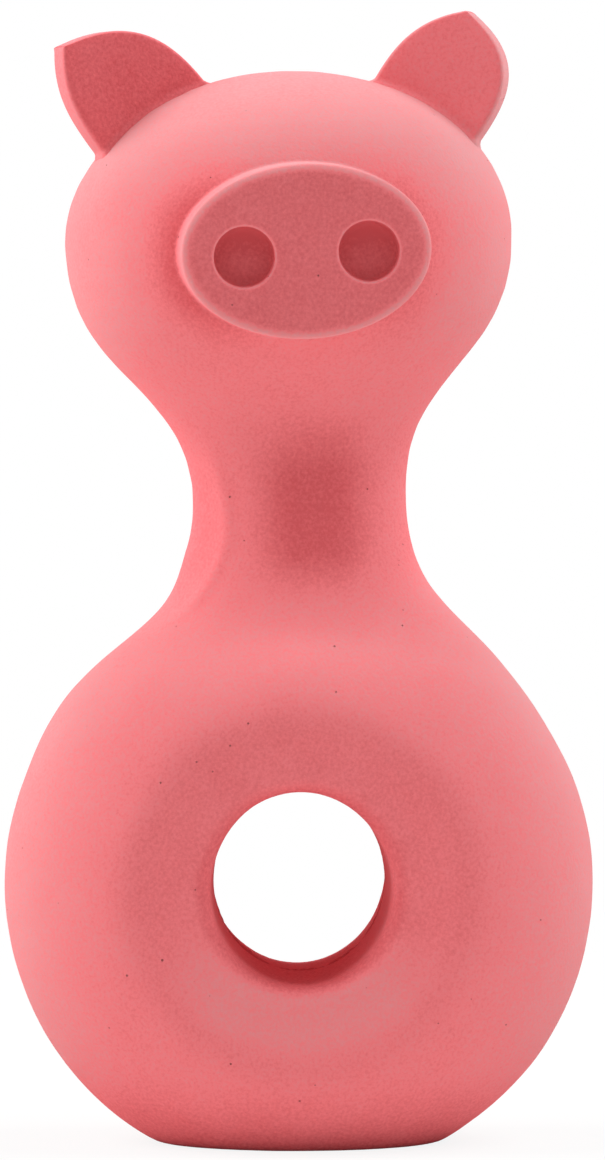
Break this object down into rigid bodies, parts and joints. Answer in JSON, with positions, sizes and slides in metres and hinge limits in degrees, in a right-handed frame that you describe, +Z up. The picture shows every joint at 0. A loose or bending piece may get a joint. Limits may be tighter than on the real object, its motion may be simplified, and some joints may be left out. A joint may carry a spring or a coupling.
{
  "type": "latex pig dog toy",
  "caption": "Soft latex dog toy shaped as a pig: thick standing ring with a round hole, waisted bending neck, head with flat oval snout and nostrils, flexing ear flaps, squeaker in the foot.",
  "frame": {"origin": "centre of the toy's bounding box, on the floor under the flat foot", "axes": "+Z up through the neck, -Y out of the face, +X to the viewer's right of the face"},
  "size_m": [0.0824, 0.0556, 0.1577],
  "materials": {
    "latex": "matte",
    "fibre": "matte",
    "soft_plastic": "satin",
    "hard_plastic": "satin",
    "film": "satin"
  },
  "bodies": {
    "ring": {"ring_body": "latex", "neck_sleeve": "latex", "ring_filling": "fibre", "neck_filling": "fibre", "squeaker_plug": "soft_plastic", "reed_pipe": "hard_plastic", "reed_wedge": "hard_plastic"},
    "head": {"head_shell": "latex", "snout_boss": "latex", "head_filling": "fibre", "ear_left_root": "latex", "ear_right_root": "latex"},
    "left_ear": {"ear_left": "latex"},
    "right_ear": {"ear_right": "latex"},
    "reed": {"squeaker_reed": "film"}
  },
  "joints": [
    {"name": "neck_bend", "type": "hinge", "parent": "ring", "child": "head", "pos_m": [0, 0, 0.0905], "axis": [0.997, 0.0628, 0.0453], "range_deg": [-20, 20], "stiffness_Nm_per_rad": 0.5, "deforming": ["neck_sleeve", "neck_filling"]},
    {"name": "ear_left_flex", "type": "hinge", "parent": "head", "child": "left_ear", "pos_m": [-0.0217, 0.0014, 0.14551], "axis": [0.7865, 0.3605, 0.5015], "range_deg": [-35, 35], "stiffness_Nm_per_rad": 0.011, "deforming": ["ear_left_root"]},
    {"name": "ear_right_flex", "type": "hinge", "parent": "head", "child": "right_ear", "pos_m": [0.01902, 0.00396, 0.14629], "axis": [0.8389, -0.2583, -0.4791], "range_deg": [-35, 35], "stiffness_Nm_per_rad": 0.011, "deforming": ["ear_right_root"]},
    {"name": "reed_flutter", "type": "hinge", "parent": "ring", "child": "reed", "pos_m": [0, -0.00065, 0.0099], "axis": [1, 0, 0], "range_deg": [-3.5, 5], "stiffness_Nm_per_rad": 0.0006}
  ]
}
